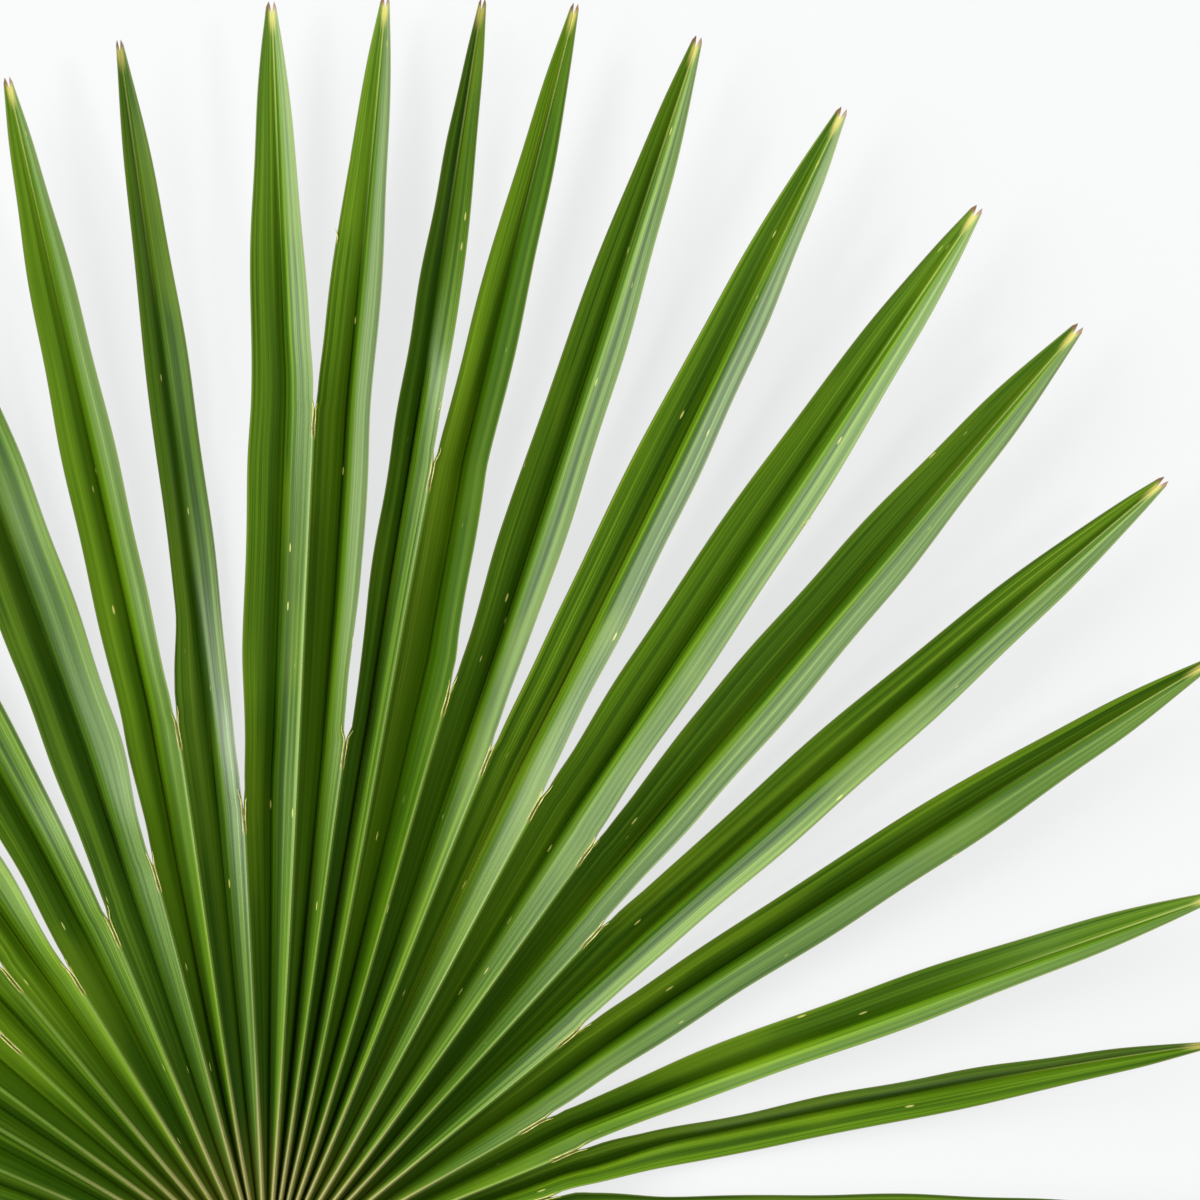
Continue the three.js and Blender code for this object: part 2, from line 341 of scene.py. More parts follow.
def closed_sheet(name, upper, lower, numbers):
    """Mesh from two grids of points and a dict of arrays, each with a value per grid point."""
    rows, columns = upper.shape[:2]
    count = rows * columns
    top = np.arange(count).reshape(rows, columns)
    under = top + count
    quad = [top[:-1, :-1], top[:-1, 1:], top[1:, 1:], top[1:, :-1]]
    upper_faces = np.stack(quad, axis=-1).reshape(-1, 4)
    lower_faces = upper_faces[:, ::-1] + count
    border = np.concatenate([top[0, :-1], top[:-1, -1], top[-1, :0:-1], top[:0:-1, 0]])
    after = np.roll(border, -1)
    rim = np.stack([border + count, after + count, after, border], axis=-1)
    faces = np.concatenate([upper_faces, lower_faces, rim])
    points = np.concatenate([upper.reshape(-1, 3), lower.reshape(-1, 3)])
    mesh = bpy.data.meshes.new(name)
    mesh.from_pydata(points, [], faces)
    mesh.polygons.foreach_set("use_smooth", np.ones(len(faces), bool))
    mesh.set_sharp_from_angle(angle=math.radians(SHEET_CREASE))
    side = np.concatenate([np.zeros(count), np.ones(count)])
    both = {key: np.tile(value.ravel(), 2) for key, value in numbers.items()}
    for key, values in {**both, "underside": side}.items():
        layer = mesh.attributes.new(key, "FLOAT", "POINT")
        layer.data.foreach_set("value", values.astype(np.float32))
    piece = bpy.data.objects.new(name, mesh)
    bpy.context.scene.collection.objects.link(piece)
    return piece


# %% [markdown]
# ## The leaflet as a function of two parameters
#
# One parameter runs outwards from the hub to the tip. The other runs across, from -1 at the left
# edge through 0 at the midrib to 1 at the right edge. Between midrib and edge the blade rises in
# two steps: steeply out of the fold, then at an even slope to the edge. The steep step belongs to
# the free part; in the joined web the flanks are nearly straight. At a crotch both edges draw back, so
# the slit stands open, and further out they ease back to the solids' edges. On top of that lie
#
# - narrow lengthwise waves, the stiff bundles of fibre that make the blade look pleated again,
# - the midrib, a thin cord that shows on top and stands out underneath,
# - a rounded crest where two neighbours are joined,
# - a gentle unevenness along the free part, because no leaflet grows quite straight.

# %% Surface of a leaflet
FOLD_SHARE = 0.36  # of the rise that is used up close to the midrib, where the leaflet is free
FOLD_SHARE_JOINED = 0.06  # the same in the joined web
FOLD_PLACE = 0.22  # of the half width, where the steep part ends
WAVES = 5.5  # lengthwise waves in each half
WAVE_HEIGHT = 0.006  # of the half width
RIB_TOP = 0.3  # mm that the midrib stands up in the fold
RIB_WIDTH = 0.6  # mm
CREST_DROP = 0.3  # mm
CREST_WIDTH = 0.7  # mm
CROTCH_OPENING = 0.65  # mm that each edge draws back from the crotch
WIDE_OPENING = 1.3  # mm, at the seam left of leaflet_18, which has torn wider
OVERLAP = 0.06  # mm that joined edges lap past the middle of the hairline, near the crotch
OVERLAP_START = 40  # mm before the crotch
WEB_INSIDE = 80  # mm before the crotch, where the web starts to give way
WEB_OUTSIDE = 45  # mm beyond the crotch, where nothing of the web is left
JOIN_FROM, JOIN_TO = -1, 2  # mm about the crotch, over which the join ends
OPEN_BY = 4  # mm beyond the crotch, where the slit is fully open
CLOSE_FROM, CLOSE_TO = 18, 60  # mm beyond the crotch, over which the edges ease back
FREE_BY = 60  # mm beyond the crotch, and
CALM_TIP = 70  # mm before the tip: between them a free edge is at its most uneven
EDGE_DRIFT = 0.3  # mm of sideways unevenness of a free edge
TWIST = 0.5  # mm that a free edge rises and sinks

rng = np.random.default_rng(17)
openings = np.full(len(splits), CROTCH_OPENING)
openings[leaflet_names.index("leaflet_18")] = WIDE_OPENING
phases = rng.uniform(0, 2 * np.pi, (len(lines), 2, 3))
paces = rng.uniform(50, 110, (len(lines), 2))


def web_share(reach, split):
    """1 well inside the joined web, 0 well outside it, with a slow step around the crotch."""
    return 1 - ease(reach, split - WEB_INSIDE, split + WEB_OUTSIDE)


def leaflet_surface(index, reach, across):
    """Angle and height: rib, plus the rise to the edge times the arch, plus waves and cords."""
    left, rib, right = lines[index]
    on_left = across < 0
    side = on_left.astype(int)
    outward = np.where(on_left, -1, 1)
    size = np.abs(across)
    split = splits[index + 1 - side]
    joined = 1 - ease(reach, split + JOIN_FROM, split + JOIN_TO)
    free = ease(reach, split, split + FREE_BY)
    free = free * (1 - ease(reach, tips[index] - CALM_TIP, tips[index]))
    opening = openings[index + 1 - side] * ease(reach, split + JOIN_FROM, split + OPEN_BY)
    opening = opening * (1 - ease(reach, split + CLOSE_FROM, split + CLOSE_TO))
    phase = phases[index][side]
    stroll = 2 * np.pi * reach / paces[index][side]

    rib_angle, rib_height = flow(reach, rib[:, 0], rib[:, 1]), flow(reach, rib[:, 0], rib[:, 2])
    edges = [[flow(reach, line[:, 0], line[:, k]) for line in (right, left)] for k in (1, 2)]
    edge_angle, edge_height = [np.where(on_left, pair[1], pair[0]) for pair in edges]
    overlap = OVERLAP * ease(reach, split - OVERLAP_START, split)
    closing = np.where(reach < split + JOIN_TO, HAIRLINE / 2 + overlap, 0)
    sideways = joined * closing - opening + EDGE_DRIFT * free * np.sin(stroll + phase[..., 0])
    edge_angle = edge_angle + outward * np.degrees(sideways / reach)
    edge_height = edge_height + TWIST * free * np.sin(0.7 * stroll + phase[..., 1])

    width = np.radians(np.abs(edge_angle - rib_angle)) * reach
    steep = np.tanh(size / FOLD_PLACE) / math.tanh(1 / FOLD_PLACE)
    fold_share = FOLD_SHARE + (FOLD_SHARE_JOINED - FOLD_SHARE) * web_share(reach, split)
    arch = size + fold_share * (steep - size)
    taper = np.sqrt(np.clip(4 * size * (1 - size), 0, 1))
    beat = np.sin(2 * np.pi * WAVES * size + 0.8 * np.sin(reach / 60) + phase[..., 2])
    wave = WAVE_HEIGHT * width * taper * beat
    from_rib = width * size
    to_edge = width * (1 - size)
    cord = RIB_TOP * np.exp(-((from_rib / RIB_WIDTH) ** 2)) * ease(reach, 20, 60)
    crest = CREST_DROP * joined * np.exp(-to_edge / CREST_WIDTH)
    height = rib_height + (edge_height - rib_height) * arch + wave + cord - crest
    angle = rib_angle + size * (edge_angle - rib_angle)
    return angle, height, width, joined, split


# %% [markdown]
# ## From surface to blade
#
# The rows crowd towards the tip, where the shape changes fastest. Every column ends at its own
# reach, and that cuts the fork: a narrow notch on the midrib, a prong on either side of it, and a
# short shoulder outside each prong.

# %% Blades
ACROSS = 22  # columns in each half
ALONG = 130  # rows from the hub to the tip
TIP_CROWDING = 1.4  # above 1 the rows crowd towards the tip
INNER_REACH = 11.0  # mm, inside the stalk's head
FORK_DEPTH = 4.6  # mm from the prongs' points down to the bottom of the notch
PRONG_PLACE = 0.66  # of the half width, where a prong has its point
SHOULDER = 2.0  # mm that the outer corner lies behind the prong's point
THICKNESS = 0.38  # mm of blade
RIB_UNDER = 0.85  # mm that the midrib stands out underneath
FOLD_SHADE_PLACE = 0.13  # of the half width, left of the midrib, where the painted shade of the fold is darkest

half = 0.5 - 0.5 * np.cos(np.pi * np.linspace(0, 1, ACROSS + 1))
across = np.concatenate([-half[:0:-1], half])[None, :]
along = (1 - (1 - np.linspace(0, 1, ALONG)) ** TIP_CROWDING)[:, None]


def column_ends(tip):
    """Reach at which each column ends: deep at the notch, full at the prong, short outside."""
    size = np.abs(across)
    notch = FORK_DEPTH * np.clip(1 - size / PRONG_PLACE, 0, 1) ** 1.7
    outside = SHOULDER * np.clip(size - PRONG_PLACE, 0, 1) / (1 - PRONG_PLACE)
    return tip - notch - outside


def leaflet_sheet(index):
    """Upper and lower grid of one leaflet, and the numbers that its material reads."""
    tip = tips[index]
    reach = INNER_REACH + along * (column_ends(tip) - INNER_REACH)
    grid = across + 0 * reach
    angle, height, width, joined, split = leaflet_surface(index, reach, grid)
    from_rib = width * np.abs(grid)
    keel = RIB_UNDER * np.exp(-((from_rib / RIB_WIDTH) ** 2)) * (1 - 0.6 * reach / tip)
    upper = polar_point(reach, angle, height)
    lower = polar_point(reach, angle, np.maximum(height - THICKNESS - keel, 0.05))
    numbers = {
        "vein_mm": grid * width.max(),
        "rib_mm": from_rib,
        "edge_mm": width * (1 - np.abs(grid)),
        "reach_mm": reach,
        "tip_mm": tip - reach,
        "split_mm": split - reach,
        "joined": joined,
        "web": web_share(reach, split),
        "across": grid,
        # distance from the middle of the painted shade in the fold
        "fold": np.abs(grid + FOLD_SHADE_PLACE),
        "size": np.abs(grid),
        "leaflet": np.full_like(reach, index / len(lines)),
        "tone": np.full_like(reach, tones[index]),
        "deep_and_shaded": np.where(grid < 0, depths_and_shades[index, 0], depths_and_shades[index, 1]),
        "wax": np.where(grid < 0, waxes[index, 0], waxes[index, 1]),
    }
    return upper, lower, numbers


# Tone: above 0 yellower, below 0 bluer. Depth and wax: one value for the left half and one for the
# right half. Depth darkens the green, partly the half's own green and partly painted shade where a
# half faces away from the light; wax makes it mirror the white panel.
tones = rng.uniform(-0.5, 0.5, len(lines))
depths_and_shades = rng.uniform(0, 0.3, (len(lines), 2))
waxes = rng.uniform(0.8, 1.1, (len(lines), 2))
for name, *own_look in (
    ("leaflet_13", -0.5, (0.1, 0.1), (1.0, 1.1)),
    ("leaflet_14", 0.6, (0.5, 0.5), (0.9, 0.8)),
    ("leaflet_15", -0.4, (0.5, 0.0), (0.9, 2.0)),
    ("leaflet_16", 0.2, (0.35, 0.0), (1.0, 1.2)),
    ("leaflet_17", 0.4, (0.0, 0.65), (1.0, 0.85)),
    ("leaflet_18", -0.2, (1.1, 0.25), (0.7, 1.05)),
    ("leaflet_19", 0.45, (0.0, 1.0), (1.0, 0.12)),
    ("leaflet_20", 0.1, (0.6, 0.3), (0.8, 0.85)),
    ("leaflet_21", 0.1, (0.1, 0.0), (0.9, 1.3)),
    ("leaflet_22", 0.3, (0.2, 0.1), (0.9, 1.0)),
    ("leaflet_23", -0.2, (0.5, 0.5), (0.9, 0.8)),
    ("leaflet_24", 0.15, (0.25, 0.35), (0.9, 0.8)),
    ("leaflet_25", 0.15, (0.1, 0.6), (0.9, 0.55)),
    ("leaflet_26", 0.3, (0.3, 0.0), (1.0, 0.6)),
    ("leaflet_27", 0.3, (0.4, 0.0), (1.2, 0.5)),
):
    own = leaflet_names.index(name)
    tones[own], depths_and_shades[own], waxes[own] = own_look

blades = []
for index, name in enumerate(leaflet_names):
    upper, lower, numbers = leaflet_sheet(index)
    blade = closed_sheet("blade_" + name[-2:], upper, lower, numbers)
    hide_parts(name)
    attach(blade, "root")
    blades.append(blade)
print(len(blades), "blades,", len(blades[0].data.polygons), "faces each")

# %% [markdown]
# ## Living leaf
#
# A fan palm's blade is a tough sheet of parallel fibres under a skin with a thin coat of wax. The
# wax is why the green turns greyish where a bright wall is mirrored in it, and the fibres give fine
# lengthwise streaks. A painter would lay it on in four steps, and so does the material:
#
# 1. the greens, streaked along the fibres, yellower on one leaflet and bluer on the next, and
#    darker on some halves than on others, partly their own green and partly painted shade,
# 2. the lines: painted shade in the fold and in the web, then midrib, pale crests, margins and
#    the torn ends of the seams, each with painted shade in its slit,
# 3. age: straw and brown at the tips, small pale scars,
# 4. the gloss and the grain.


# %% Small tools for painting
def attribute(tree, name):
    """Socket with a number stored on the points."""
    return node(tree, "ShaderNodeAttribute", attribute_name=name).outputs["Fac"]


def fade(tree, value, low, high):
    """Socket that goes smoothly from 0 at low to 1 at high; low may be the larger one."""
    inputs = {"Value": value, "From Min": low, "From Max": high}
    settings = {"interpolation_type": "SMOOTHSTEP"}
    return node(tree, "ShaderNodeMapRange", inputs, **settings).outputs["Result"]


def combine(tree, way, a, b):
    """Socket with the outcome of a sum such as MULTIPLY or SUBTRACT."""
    return node(tree, "ShaderNodeMath", {0: a, 1: b}, operation=way).outputs[0]


def times(tree, *factors):
    """Socket with the product of all factors."""
    total = factors[0]
    for factor in factors[1:]:
        total = combine(tree, "MULTIPLY", total, factor)
    return total


def paint(tree, amount, under, over, way="MIX"):
    """Socket with the colour over laid on the colour under, as much as amount says."""
    inputs = {0: amount, 6: under, 7: over}
    settings = {"data_type": "RGBA", "blend_type": way}
    return node(tree, "ShaderNodeMix", inputs, **settings).outputs[2]


def streaks(tree, place, scales, detail):
    """Noise over (across, along, which one), each stretched by its own scale per mm."""
    stretched = {i: times(tree, socket, scale) for i, (socket, scale) in enumerate(zip(place, scales))}
    vector = node(tree, "ShaderNodeCombineXYZ", stretched).outputs[0]
    inputs = {"Vector": vector, "Scale": 1.0, "Detail": detail, "Roughness": 0.55}
    return node(tree, "ShaderNodeTexNoise", inputs).outputs["Fac"]


# %% Leaf skin
def living_greens(tree, place, tone):
    """Bundles of fibre 2 to 4 mm wide, fibres under 1 mm, and slow patches of yellow."""
    bundles = streaks(tree, place, (0.38, 0.003, 91.0), 2.5)
    fibres = streaks(tree, place, (2.2, 0.006, 53.0), 1.0)
    patches = streaks(tree, place, (0.06, 0.012, 17.0), 2.0)
    stops = [(0.32, "#335406"), (0.46, "#4f7308"), (0.58, "#648a0d"), (0.7, "#86a722")]
    colour = node(tree, "ShaderNodeValToRGB", {0: bundles}, ramp=stops).outputs[0]
    stops = [(0.36, "#b9c7a4"), (0.5, "#eef2e6"), (0.64, "#ffffff")]
    lines_of_fibre = node(tree, "ShaderNodeValToRGB", {0: fibres}, ramp=stops).outputs[0]
    colour = paint(tree, 1.0, colour, lines_of_fibre, "MULTIPLY")
    colour = paint(tree, times(tree, fade(tree, patches, 0.5, 0.7), 0.5), colour, linear("#6c8c0a"))
    colour = paint(tree, times(tree, fade(tree, tone, 0.1, 1), 0.6), colour, linear("#729a08"))
    colour = paint(tree, times(tree, fade(tree, tone, -0.1, -1), 0.6), colour, linear("#41652c"))
    # halves made darker: partly their own green, partly painted shade
    dark = times(tree, attribute(tree, "deep_and_shaded"), 0.6)
    return paint(tree, dark, colour, linear("#1f4203")), bundles, fibres


def leaf_lines(tree, colour, at):
    """Painted shade in fold, web and slits; midrib thread, pale crests, dry and frayed margins."""
    loose = combine(tree, "SUBTRACT", 1.0, at["joined"])

    # painted shade in the fold of the free part, paler towards the tip
    flat_tip = combine(tree, "ADD", times(tree, fade(tree, at["tip_mm"], 15, 140), 0.65), 0.35)
    fold = times(tree, fade(tree, at["fold"], 0.4, 0.1), flat_tip)
    unwebbed = combine(tree, "SUBTRACT", 1.0, at["web"])
    colour = paint(tree, times(tree, fold, unwebbed, 0.62), colour, linear("#1c3a03"))

    # the web: painted shade of its steep joined folds, deeper towards the hub, except for the outer
    # part of each right half
    inward = combine(tree, "ADD", times(tree, fade(tree, at["reach_mm"], 190, 80), 0.18), 0.62)
    open_flank = combine(tree, "SUBTRACT", 1.0, times(tree, fade(tree, at["across"], 0.28, 0.9), 0.9))
    colour = paint(tree, times(tree, at["web"], inward, open_flank), colour, linear("#1f3d02"))

    # brown by the hub, and the midrib's pale thread near the tip
    near_hub = times(tree, fade(tree, at["reach_mm"], 75, 30), 0.45)
    colour = paint(tree, near_hub, colour, linear("#5a5716"))
    thread = fade(tree, at["rib_mm"], 0.42, 0.15)
    outer = times(tree, thread, fade(tree, at["tip_mm"], 120, 10), 0.4)
    colour = paint(tree, outer, colour, linear("#cbd480"))

    # pale crests of the joined part, straw-coloured towards the hub, and dry hems of the free part
    crest = times(tree, at["joined"], fade(tree, at["edge_mm"], 1.1, 0.2))
    colour = paint(tree, times(tree, crest, 0.45), colour, linear("#8aa648"))
    tan = times(tree, crest, fade(tree, at["reach_mm"], 105, 40), 0.6)
    colour = paint(tree, tan, colour, linear("#bba97a"))
    hem = times(tree, loose, fade(tree, at["edge_mm"], 0.55, 0.15), 0.6)
    colour = paint(tree, hem, colour, linear("#8a8a5c"))

    # the seam's torn end: a frayed margin, and painted shade for the dark slit in it
    torn = times(tree, fade(tree, at["split_mm"], -2, 1), fade(tree, at["split_mm"], 13, 10))
    frayed = times(tree, torn, fade(tree, at["edge_mm"], 1.0, 0.75))
    colour = paint(tree, times(tree, frayed, 0.8), colour, linear("#b5b556"))
    # painted shade: the slit is dark because it lies in shadow
    slit = times(tree, torn, fade(tree, at["edge_mm"], 0.5, 0.3), 0.9)
    return paint(tree, slit, colour, linear("#2c3d0c"))


def leaf_age(tree, colour, at, place):
    """Straw near the notch, brown prongs, scars 1 to 2 mm long, and the paler back."""
    straw = times(tree, fade(tree, at["tip_mm"], 14, 5), fade(tree, at["rib_mm"], 1.9, 0.4))
    colour = paint(tree, times(tree, straw, 0.8), colour, linear("#cfc46a"))
    colour = paint(tree, fade(tree, at["tip_mm"], 4.5, 1.5), colour, linear("#84664c"))
    cells = {i: times(tree, s, k) for i, (s, k) in enumerate(zip(place, (0.42, 0.09, 37.0)))}
    vector = node(tree, "ShaderNodeCombineXYZ", cells).outputs[0]
    spots = node(tree, "ShaderNodeTexVoronoi", {"Vector": vector, "Scale": 1.0})
    draw = node(tree, "ShaderNodeSeparateColor", {0: spots.outputs["Color"]}).outputs[0]
    near = fade(tree, spots.outputs["Distance"], 0.2, 0.1)
    scar = times(tree, fade(tree, draw, 0.955, 0.97), near, 0.85)
    colour = paint(tree, scar, colour, linear("#c5c56a"))
    return paint(tree, times(tree, at["underside"], 0.6), colour, linear("#7f9b5c"))


WAX = 0.52  # gloss of a fully waxed half that leans out of the fold

names = "rib_mm edge_mm reach_mm tip_mm split_mm joined web across fold size underside"
leaf_skin, tree, shader = new_material("waxed_palm_blade")
at = {name: attribute(tree, name) for name in names.split()}
place = [attribute(tree, name) for name in ("vein_mm", "reach_mm", "leaflet")]
colour, bundles, fibres = living_greens(tree, place, attribute(tree, "tone"))
colour = leaf_lines(tree, colour, at)
colour = leaf_age(tree, colour, at, place)
tree.links.new(colour, shader.inputs["Base Color"])
gloss = node(tree, "ShaderNodeMapRange", {"Value": fibres, "To Min": 0.36, "To Max": 0.48})
tree.links.new(gloss.outputs["Result"], shader.inputs["Roughness"])
out_of_fold = combine(tree, "ADD", times(tree, fade(tree, at["size"], 0.0, 0.5), 0.85), 0.15)
rubbed = combine(tree, "ADD", times(tree, fade(tree, bundles, 0.3, 0.7), 0.5), 0.75)
in_web = combine(tree, "SUBTRACT", 1.0, times(tree, at["web"], 0.3))
wax = times(tree, attribute(tree, "wax"), out_of_fold, rubbed, in_web, WAX)
tree.links.new(wax, shader.inputs["Specular IOR Level"])
grain = node(tree, "ShaderNodeBump", {"Strength": 0.4, "Distance": 0.1 * MM, "Height": fibres})
tree.links.new(grain.outputs["Normal"], shader.inputs["Normal"])
for blade in blades:
    blade.data.materials.append(leaf_skin)
print("leaf skin has", len(tree.nodes), "nodes")

# %% [markdown]
# ## Tubes
#
# The stalk and the loose fibres are tubes: a closed ring carried along a line. One function makes
# the mesh for any number of tubes. Each end closes in a single point.

# %% Closed tubes
TUBE_CREASE = 50  # degrees; a sharper bend keeps a hard edge


def closed_tubes(name, rings, numbers):
    """Mesh from an array of tubes by rings by sides, and a dict with a value per ring point."""
    tubes, count, sides = rings.shape[:3]
    body = np.arange(tubes * count * sides).reshape(tubes, count, sides)
    after = np.roll(body, -1, axis=2)
    quads = [body[:, :-1], body[:, 1:], after[:, 1:], after[:, :-1]]
    start = body.size + np.arange(tubes)[:, None]
    end = start + tubes
    first = np.stack([start + 0 * body[:, 0], body[:, 0], after[:, 0]], axis=-1)
    last = np.stack([end + 0 * body[:, -1], after[:, -1], body[:, -1]], axis=-1)
    poles = np.concatenate([rings[:, 0].mean(axis=1), rings[:, -1].mean(axis=1)])
    points = np.concatenate([rings.reshape(-1, 3), poles])
    faces = np.stack(quads, axis=-1).reshape(-1, 4).tolist()
    faces += first.reshape(-1, 3).tolist() + last.reshape(-1, 3).tolist()
    mesh = bpy.data.meshes.new(name)
    mesh.from_pydata(points, [], faces)
    mesh.polygons.foreach_set("use_smooth", np.ones(len(faces), bool))
    mesh.set_sharp_from_angle(angle=math.radians(TUBE_CREASE))
    for key, values in numbers.items():
        ends = [values[:, 0].mean(axis=1), values[:, -1].mean(axis=1)]
        layer = mesh.attributes.new(key, "FLOAT", "POINT")
        filled = np.concatenate([values.ravel(), *ends])
        layer.data.foreach_set("value", filled.astype(np.float32))
    piece = bpy.data.objects.new(name, mesh)
    bpy.context.scene.collection.objects.link(piece)
    return piece


# %% [markdown]
# ## The stalk
#
# The stalk of a fan palm is a stiff half-round rod with a channel in its upper side. It is green
# and finely ribbed, because the same fibres that run through the leaflets are bundled in it. At
# the hub it widens into a head that holds the leaflets, and a small flap, the hastula, stands up
# from the head. The other end was cut with shears: the cut shows pale pith with darker dots, which
# are the ends of the fibres.
#
# The solid's rings give the half width and the lowest and highest point along the stalk. The
# section between them is a circle made squarer, with the channel pressed into its top.

# %% Stalk
SQUARENESS = 0.75  # 1 is an ellipse, less is squarer
CHANNEL = 0.16  # depth of the channel, of the half height
STALK_SIDES = 120
STALK_RINGS = 260
CAP_RINGS = 10  # across the cut
RIBS = 27  # fine ribs around the stalk
RIB_HEIGHT = 0.07  # mm
RIND_RADIUS = 6.0  # mm, which turns an angle around the stalk into a length
RING_CROWDING = 1.6  # above 1 the rings crowd towards the head
CUT_MIDDLE, CUT_RIM = 0.08, 0.97  # of the half width, the first and the last ring across the cut
CUT_DISH = 0.5  # mm that the dried pith has sunk in the cut

corners = solid_corners("stalk")
corners = corners[np.argsort(corners[:, 1])]
stops = np.flatnonzero(np.diff(corners[:, 1]) > SECTION_GAP) + 1
rings = np.split(corners, stops)
ring_y = np.array([ring[:, 1].mean() for ring in rings])
ring_half = np.array([np.abs(ring[:, 0] - hub[0]).max() for ring in rings])
ring_low = np.array([ring[:, 2].min() for ring in rings])
ring_high = np.array([ring[:, 2].max() for ring in rings])

turn = 2 * np.pi * np.arange(STALK_SIDES)[None, :] / STALK_SIDES
sideways = np.sign(np.cos(turn)) * np.abs(np.cos(turn)) ** SQUARENESS
upward = np.sign(np.sin(turn)) * np.abs(np.sin(turn)) ** SQUARENESS
upward = upward - np.where(upward > 0, CHANNEL * (1 - sideways**2) ** 2, 0)

stations = 1 - (1 - np.linspace(0, 1, STALK_RINGS)) ** RING_CROWDING
shaft_y = ring_y[0] + (ring_y[-1] - ring_y[0]) * stations
y = np.concatenate([np.full(CAP_RINGS, ring_y[0]), shaft_y])[:, None]
cut_rings = np.linspace(CUT_MIDDLE, CUT_RIM, CAP_RINGS)
spread = np.concatenate([cut_rings, np.ones(STALK_RINGS)])[:, None]
wide = flow(y, ring_y, ring_half) * spread
low, high = flow(y, ring_y, ring_low), flow(y, ring_y, ring_high)
tall = (high - low) / (upward.max() - upward.min())
middle = low - tall * upward.min()
on_shaft = ease(y, ring_y[0], ring_y[0] + 4) * (1 - ease(y, ring_y[-1] - 8, ring_y[-1] - 2))
swell = RIB_HEIGHT * on_shaft * np.sin(RIBS * turn + 1.5 * np.sin(y / 37))
x = hub[0] + wide * sideways + swell * np.cos(turn)
z = middle + tall * upward * spread + swell * np.sin(turn)
dish = CUT_DISH * (1 - spread**4) * (1 + 0.25 * np.sin(9 * turn + 5 * spread))
rod = np.stack([x, y + dish, z], axis=-1)[None] * MM
flat = np.ones_like(x)[None]
numbers = {
    "along_mm": (y - ring_y[0]) * flat,
    "round_mm": (turn * RIND_RADIUS) * flat,
    "side": np.abs(sideways) * flat,
    "up": np.sin(turn) * flat,
    "cut": (1 - ease(spread, CUT_RIM, 1.0)) * flat,
}
stalk = closed_tubes("stalk_rod", rod, numbers)
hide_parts("stalk")
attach(stalk, "root")
print("stalk", round(float(ring_y[-1] - ring_y[0])), "mm long")

# %% [markdown]
# The hastula is a stiff, papery flap. It stands on the head like a collar, highest in the middle,
# and leans a little over the leaflets. Its rim has dried brown.

# %% Hastula
FLAP_HALF = 9.0  # mm to either side of the middle
FLAP_BASE = 7.0  # mm above the table
FLAP_TOP = 12.3
FLAP_Y = 8.6  # mm from the hub towards the leaflets
FLAP_LEAN = 2.4  # mm that the rim leans outwards
FLAP_BEND = 3.4  # mm that the ends of the flap lie behind its middle
FLAP_THICKNESS = 0.5

u = np.linspace(-1, 1, 41)[None, :]
v = np.linspace(0, 1, 13)[:, None]
crown = (FLAP_TOP - FLAP_BASE) * (1 - 0.75 * np.abs(u) ** 3) * (1 + 0.02 * np.sin(17 * u))
x = hub[0] + FLAP_HALF * u * (1 - 0.08 * v)
y = hub[1] + FLAP_Y - FLAP_BEND * u**2 + FLAP_LEAN * v**1.5
z = FLAP_BASE + crown * v
front = np.stack([x, y, z], axis=-1) * MM
back = np.stack([x, y + FLAP_THICKNESS * (1 - 0.5 * v), z - 0.1 * v], axis=-1) * MM
rim = {"rim": v + 0 * u, "across_mm": FLAP_HALF * u + 0 * v}
flap = closed_sheet("hastula", front, back, rim)
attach(flap, "root")
print("hastula", len(flap.data.polygons), "faces")

# %% [markdown]
# ## Torn fibres
#
# Where a seam has split, its two margins are frayed. The outermost fibres have come away as pale
# dry threads that lie along both sides of the slit. Here and there a free edge has a loose thread
# too, where the leaf was scraped.

# %% Threads
THREAD_RADIUS = 0.2  # mm
THREAD_RINGS = 18
THREAD_SIDES = 6
THREAD_LIFT = 0.12  # mm above the blade
INSET = 0.62  # mm from the edge of the blade
BELOW_CROTCH = 11.0  # mm that a thread reaches in from the crotch
BEYOND_CROTCH = 4.0  # mm that it reaches out past it

s = np.linspace(0, 1, THREAD_RINGS)


def thread_path(index, side, start, length, stray):
    """Line along a blade's edge that drifts off it, by the square of the way run, times stray."""
    reach = start + length * s
    side_of = np.full_like(reach, side)
    width = leaflet_surface(index, reach, side_of)[2]
    angle, height = leaflet_surface(index, reach, side_of * (1 - INSET / width))[:2]
    away = side * np.degrees(stray * s**2 / reach)
    wobble = np.degrees(0.1 * np.sin(9 * s + index) / reach)
    return polar_point(reach, angle + away + wobble, height + THREAD_LIFT + 0.5 * abs(stray) * s**2)


paths = []
for index in range(len(lines) - 1):
    for leaflet, side in ((index, 1), (index + 1, -1)):
        inner = BELOW_CROTCH * rng.uniform(0.8, 1.15)
        outer = BEYOND_CROTCH * rng.uniform(0.2, 1.3)
        start = splits[index + 1] - inner
        paths.append(thread_path(leaflet, side, start, inner + outer, rng.uniform(-0.4, 0.5)))
for name, side, start, length, stray in (
    ("leaflet_17", -1, 396, 6.0, 1.6),
    ("leaflet_18", 1, 338, 4.5, 0.8),
    ("leaflet_22", 1, 352, 5.0, 1.0),
    ("leaflet_09", -1, 250, 6.0, 1.8),
    ("leaflet_31", 1, 240, 5.0, 1.5),
):
    paths.append(thread_path(leaflet_names.index(name), side, start, length, stray))
paths = np.array(paths)

